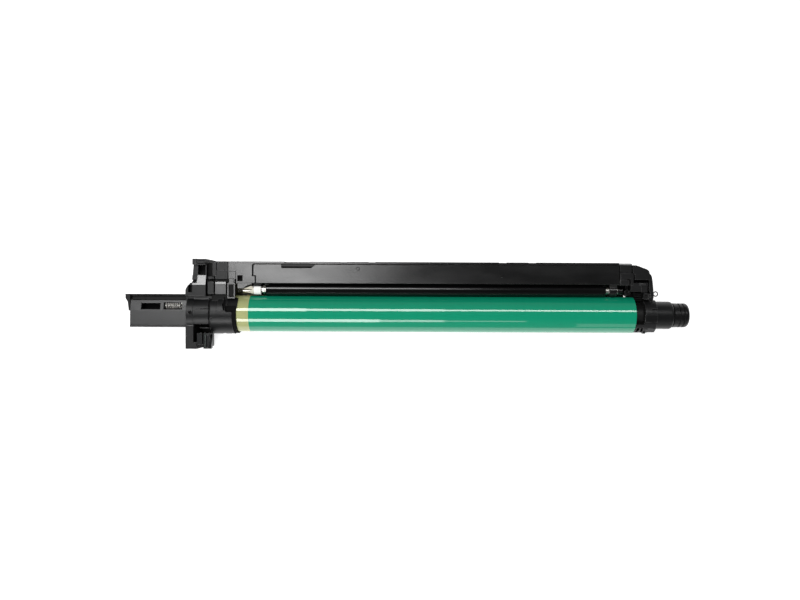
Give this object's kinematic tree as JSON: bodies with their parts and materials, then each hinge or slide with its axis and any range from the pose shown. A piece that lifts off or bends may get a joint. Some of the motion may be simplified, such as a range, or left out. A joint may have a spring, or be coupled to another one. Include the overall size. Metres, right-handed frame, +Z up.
{
  "type": "printer drum unit",
  "caption": "Colour copier drum unit: green imaging drum, charge roller, cleaning blade, waste auger and gear train in a black cleaner housing with end caps.",
  "frame": {"origin": "on the drum axis, at the shoulder of the rear spigot", "axes": "+X along the drum axis to the driven rear end, +Y from the drum to the waste housing, +Z up with the drum face up"},
  "size_m": [0.465, 0.0733, 0.0375],
  "materials": {
    "black_plastic": "satin black moulded plastic",
    "black_gloss": "black sliding plastic",
    "photo_green": "glossy green photoconductor on a thin tube",
    "steel": "plain steel",
    "spring_steel": "bright spring wire",
    "charge_rubber": "smooth dark rubber",
    "foam": "fine dark foam",
    "blade_rubber": "amber polyurethane rubber",
    "film": "thin polyester film",
    "felt": "black felt",
    "cream_plastic": "cream moulded plastic",
    "white_plastic": "white low-friction plastic",
    "board": "green circuit board",
    "gear_plastic": "dark gear plastic"
  },
  "bodies": {
    "frame": {"cleaner_housing": "black_plastic", "top_cover": "black_plastic", "front_side_frame": "black_plastic", "front_felt_ring": "felt", "front_end_cap": "black_plastic", "drum_pin": "steel", "chip_holder": "black_plastic", "memory_board": "board", "discharge_duct": "black_plastic", "rear_side_frame": "black_plastic", "rear_end_cap": "black_plastic", "rear_bush": "white_plastic", "earth_wire": "spring_steel", "cap_screws": "steel", "blade_bracket": "steel", "cleaning_blade": "blade_rubber", "blade_screws": "steel", "recovery_film": "film", "end_seal_front": "foam", "end_seal_rear": "foam", "charge_spring_front": "spring_steel", "charge_spring_rear": "spring_steel", "shutter_spring": "spring_steel"},
    "drum": {"drum_tube": "photo_green", "drum_front_flange": "gear_plastic", "drum_gear_flange": "gear_plastic", "drum_earth_plate": "spring_steel", "drive_coupling": "black_gloss"},
    "charge_carriage": {"charge_bearing_front": "white_plastic", "charge_bearing_rear": "black_gloss", "roller_clip": "cream_plastic"},
    "charge_roller": {"charge_roller_rubber": "charge_rubber", "charge_roller_shaft": "steel"},
    "cleaning_roller": {"cleaning_roller_foam": "foam", "cleaning_roller_shaft": "steel"},
    "idler": {"idler_gear": "gear_plastic"},
    "auger": {"waste_auger": "black_gloss", "auger_gear": "gear_plastic"},
    "shutter": {"discharge_shutter": "black_gloss"}
  },
  "joints": [
    {"name": "drum_spin", "type": "hinge", "parent": "frame", "child": "drum", "pos_m": [0, 0, 0], "axis": [1, 0, 0], "continuous": true},
    {"name": "charge_press", "type": "slide", "parent": "frame", "child": "charge_carriage", "axis": [0, 0.9848, 0.1736], "range_m": [0, 0.0008], "stiffness_N_per_m": 1500, "springref_m": -0.003, "deforming": ["charge_spring_front", "charge_spring_rear"]},
    {"name": "charge_roller_spin", "type": "hinge", "parent": "charge_carriage", "child": "charge_roller", "pos_m": [0, 0.01994, 0.00352], "axis": [1, 0, 0], "continuous": true},
    {"name": "cleaning_roller_spin", "type": "hinge", "parent": "charge_carriage", "child": "cleaning_roller", "pos_m": [0, 0.02846, 0.00502], "axis": [1, 0, 0], "continuous": true},
    {"name": "idler_spin", "type": "hinge", "parent": "frame", "child": "idler", "pos_m": [0, 0.02009, -0.00073], "axis": [1, 0, 0], "continuous": true},
    {"name": "auger_spin", "type": "hinge", "parent": "frame", "child": "auger", "pos_m": [0, 0.0314, -0.0098], "axis": [1, 0, 0], "continuous": true},
    {"name": "shutter_slide", "type": "slide", "parent": "frame", "child": "shutter", "axis": [1, 0, 0], "range_m": [0, 0.007], "stiffness_N_per_m": 100, "springref_m": -0.003, "deforming": ["shutter_spring"]}
  ],
  "couplings": [
    {"joint": "charge_roller_spin", "follows": "drum_spin", "ratio": -3},
    {"joint": "cleaning_roller_spin", "follows": "drum_spin", "ratio": 4.4118},
    {"joint": "idler_spin", "follows": "drum_spin", "ratio": -1.2727},
    {"joint": "auger_spin", "follows": "drum_spin", "ratio": 2}
  ]
}
